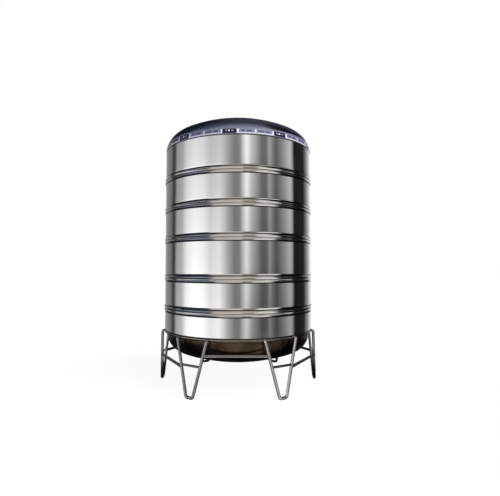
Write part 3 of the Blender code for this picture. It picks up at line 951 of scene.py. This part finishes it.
studio = {
    # light round the tank at eye level, as (azimuth from the camera, + to the right; brightness)
    "round": [
        (-180, 0.80), (-166, 0.68), (-154, 0.38), (-140, 0.26), (-126, 0.20), (-120, 0.07), (-114, 0.06),
        (-108, 0.40), (-94, 0.52), (-84, 0.96), (-68, 1.16), (-54, 1.06), (-42, 0.78), (-28, 0.90),
        (-14, 0.42), (-5, 0.22), (2, 0.26), (12, 0.98), (20, 0.50), (35, 0.135), (43, 0.14), (47.5, 0.36),
        (53, 0.19), (59, 0.10), (72, 0.28), (85, 0.52), (88.5, 0.42), (94, 0.012), (120, 0.022),
        (132, 0.26), (150, 0.84), (180, 1.0),
    ],
    # how that light changes with height: 0.5 keeps, less fades upwards, more grows upwards
    "growth": [(-180, 0.5), (-110, 0.4), (-80, 0.25), (-30, 0.25), (5, 0.65), (24, 0.88), (60, 0.80),
               (90, 0.70), (120, 0.5)],
    "growthRange": (-2.0, 2.0),
    # the heights of a direction over which it does so, and what the growth is multiplied by there
    "climbHeights": (-0.2, 0.4),
    "climbShares": (-0.29, 0.31),
    # where that light is, as (height of the direction, share)
    "belt": [(-0.26, 0.0), (-0.18, 1.0), (0.38, 1.0), (0.44, 0.0)],
    # fields of light above and below it, as (azimuth, colour) and (height of the direction, share)
    "fields": [
        # hall roof: dark at the left and right, pale in front
        ([(-180, "#42444A"), (-155, "#1A1C22"), (-122, "#1A1D24"), (-100, "#2E3440"), (-85, "#566171"),
          (-52, "#5C6777"), (-42, "#A8A6A4"), (0, "#C4C2BE"), (22, "#BDBBB6"), (36, "#A8A6A2"),
          (50, "#D0CECA"), (64, "#B4B2AE"), (73, "#4A4A4C"), (80, "#1C1C1F"), (128, "#1C1C1F"),
          (150, "#5C5C64"), (180, "#434449")],
         [(0.38, 0.0), (0.44, 1.0), (0.84, 1.0), (0.93, 0.6), (0.975, 0.25), (1.0, 0.0)]),
        # straight overhead: dim grey
        ([(-180, "#4A4A4D"), (180, "#4A4A4D")], [(0.84, 0.0), (0.93, 0.4), (0.975, 0.75), (1.0, 1.0)]),
        # ground: dark at the left and right, pale and brownish in front
        ([(-180, "#1B1B1D"), (-110, "#30353F"), (-62, "#454C59"), (-50, "#5A4E47"), (-41, "#CFC3BA"),
          (4, "#D8CEC5"), (10, "#96907D"), (26, "#96907D"), (34, "#ECE9E5"), (62, "#ECE9E5"),
          (72, "#1E1D1D"), (100, "#121212"), (180, "#1B1B1D")],
         [(-1.0, 0.06), (-0.94, 0.35), (-0.82, 1.0), (-0.26, 1.0), (-0.18, 0.0)]),
    ],
    "floor": "#4C4C4B",
    "floorRadius": 60,
    "floorSides": 64,
    "glow": 0.93,               # the floor's own light, which lifts it to the backdrop's white
    "sun": 4.5,
    "sunSize": 60,              # degrees, a wide soft source
    "sunFromTop": 50,           # degrees from straight overhead
    "sunSide": 62,              # degrees round from the front, to the right
}


def roundRamp(tree, share, stops):
    # a ramp over the azimuth, of colours or of greys
    ramp = addNode(tree, "ShaderNodeValToRGB", {"Fac": share})
    setStops(ramp.color_ramp,
             [((azimuth + 180) / 360, linear(value) if isinstance(value, str) else grey(value))
              for azimuth, value in stops])
    return ramp.outputs[0]


def riseRamp(tree, height, stops):
    # a ramp over the height of a direction, from -1 straight down to 1 straight up
    ramp = addNode(tree, "ShaderNodeValToRGB", {"Fac": height})
    setStops(ramp.color_ramp, [((rise + 1) / 2, grey(value)) for rise, value in stops])
    return ramp.outputs[0]


def buildWorld():
    world = bpy.data.worlds.new("studio")
    scene.world = world
    world.use_nodes = True
    tree = world.node_tree
    tree.nodes.clear()
    way = addNode(tree, "ShaderNodeTexCoord").outputs["Generated"]
    split = addNode(tree, "ShaderNodeSeparateXYZ", {"Vector": way})
    front = addNode(tree, "ShaderNodeMath", {0: split.outputs["Y"], 1: -1.0}, operation="MULTIPLY")
    around = addNode(tree, "ShaderNodeMath", {0: split.outputs["X"], 1: front.outputs[0]},
                     operation="ARCTAN2")
    share = addNode(tree, "ShaderNodeMapRange", {"Value": around.outputs[0], "From Min": -math.pi,
                                                 "From Max": math.pi}).outputs[0]
    height = addNode(tree, "ShaderNodeMapRange", {"Value": split.outputs["Z"], "From Min": -1.0,
                                                  "From Max": 1.0}).outputs[0]
    growthLow, growthHigh = studio["growthRange"]
    growth = addNode(tree, "ShaderNodeMapRange", {"Value": roundRamp(tree, share, studio["growth"]),
                                                  "To Min": growthLow, "To Max": growthHigh})
    (fromLow, fromHigh), (toLow, toHigh) = studio["climbHeights"], studio["climbShares"]
    climb = addNode(tree, "ShaderNodeMapRange", {"Value": split.outputs["Z"], "From Min": fromLow,
                                                 "From Max": fromHigh, "To Min": toLow, "To Max": toHigh})
    change = addNode(tree, "ShaderNodeMath", {0: growth.outputs[0], 1: climb.outputs[0], 2: 1.0},
                     operation="MULTIPLY_ADD")
    room = roundRamp(tree, share, studio["round"])
    for factor in (riseRamp(tree, height, studio["belt"]), change.outputs[0]):
        room = addNode(tree, "ShaderNodeMixRGB", {"Fac": 1.0, "Color1": room, "Color2": factor},
                       blend_type="MULTIPLY").outputs[0]
    for aroundStops, riseStops in studio["fields"]:
        part = addNode(tree, "ShaderNodeMixRGB", {"Fac": 1.0, "Color1": roundRamp(tree, share, aroundStops),
                                                  "Color2": riseRamp(tree, height, riseStops)},
                       blend_type="MULTIPLY")
        room = addNode(tree, "ShaderNodeMixRGB", {"Fac": 1.0, "Color1": room, "Color2": part.outputs[0]},
                       blend_type="ADD").outputs[0]
    seen = addNode(tree, "ShaderNodeLightPath").outputs["Is Camera Ray"]
    sky = addNode(tree, "ShaderNodeMixRGB", {"Fac": seen, "Color1": room, "Color2": grey(1.0)})
    light = addNode(tree, "ShaderNodeBackground", {"Color": sky.outputs[0], "Strength": 1.0})
    addNode(tree, "ShaderNodeOutputWorld", {"Surface": light.outputs[0]})


def buildFloor():
    bm = bmesh.new()
    bmesh.ops.create_circle(bm, cap_ends=True, segments=studio["floorSides"], radius=studio["floorRadius"])
    mesh = bpy.data.meshes.new("studio_floor")
    bm.to_mesh(mesh)
    bm.free()
    floor = bpy.data.objects.new("studio_floor", mesh)
    scene.collection.objects.link(floor)
    material, tree, shader, coords = startMaterial("paleFloor", studio["floor"], 0.0, 0.9)
    shader.inputs["Emission Color"].default_value = linear("#FFFFFF")
    shader.inputs["Emission Strength"].default_value = studio["glow"]
    speckle = addNode(tree, "ShaderNodeTexNoise", {"Vector": coords, "Scale": 40.0})
    bump = addNode(tree, "ShaderNodeBump",
                   {"Height": speckle.outputs["Fac"], "Strength": 0.02, "Distance": 0.001})
    feedShader(tree, shader, {"Normal": bump})
    mesh.materials.append(material)
    floor.visible_glossy = False


def buildLamp():
    lamp = bpy.data.lights.new("softSun", "SUN")
    lamp.energy = studio["sun"]
    lamp.angle = math.radians(studio["sunSize"])
    sun = bpy.data.objects.new("softSun", lamp)
    scene.collection.objects.link(sun)
    sun.rotation_euler = (math.radians(studio["sunFromTop"]), 0, math.radians(studio["sunSide"]))
    sun.visible_glossy = False


camera = {
    "distance": 4.711,          # from the tank's axis
    "height": 1.308,
    "pitch": 2.66,              # degrees above level
    "yaw": -0.85,               # degrees, aimed to the right of the axis
    "shift": 0.0117,            # the tank stands left of the middle of the picture
    "lens": 28.48,
    "sensor": 36,
}


def buildCamera():
    data = bpy.data.cameras.new("camera")
    data.lens = camera["lens"]
    data.sensor_width = camera["sensor"]
    data.shift_x = camera["shift"]
    view = bpy.data.objects.new("camera", data)
    scene.collection.objects.link(view)
    view.location = (0, -camera["distance"], camera["height"])
    view.rotation_euler = (math.radians(90 + camera["pitch"]), 0, math.radians(camera["yaw"]))
    scene.camera = view


buildWorld()
buildFloor()
buildLamp()
buildCamera()
scene.view_settings.view_transform = "Standard"
print("studio done")
